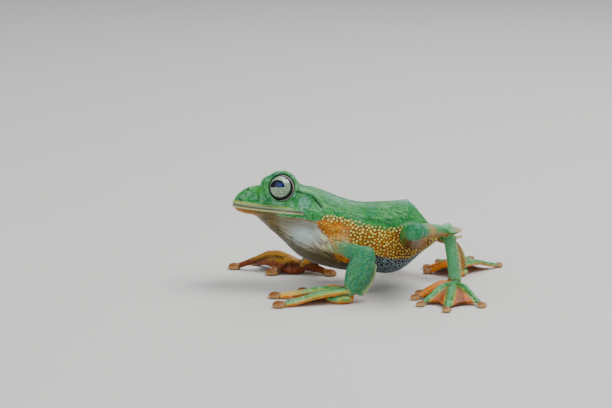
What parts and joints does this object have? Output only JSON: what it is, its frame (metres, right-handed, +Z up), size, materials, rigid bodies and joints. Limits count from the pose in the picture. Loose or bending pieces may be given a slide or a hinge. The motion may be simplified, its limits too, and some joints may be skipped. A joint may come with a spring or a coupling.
{
  "type": "flying frog",
  "caption": "Life-size still model of a green flying frog standing on its spread, webbed hands and feet with its head raised.",
  "frame": {"origin": "middle of the frog's bounding box in plan, on the level that its hands and feet rest on", "axes": "+X towards the rump, so the snout points to -X; +Z up; the frog's left side is towards -Y"},
  "size_m": [0.085, 0.0712, 0.0359],
  "materials": {
    "skin": "moist, finely granular frog skin, green above and orange on the flanks and webs",
    "eye": "wet and glossy, silver-green iris with a black lying pupil"
  },
  "bodies": {
    "root": {"head": "skin", "torso": "skin", "eye_left": "eye", "eye_right": "eye", "upper_arm_left": "skin", "upper_arm_right": "skin", "forearm_left": "skin", "forearm_right": "skin", "hand_left": "skin", "hand_right": "skin", "thigh_left": "skin", "thigh_right": "skin", "shank_left": "skin", "shank_right": "skin", "tarsus_left": "skin", "tarsus_right": "skin", "foot_left": "skin", "foot_right": "skin"}
  },
  "joints": []
}
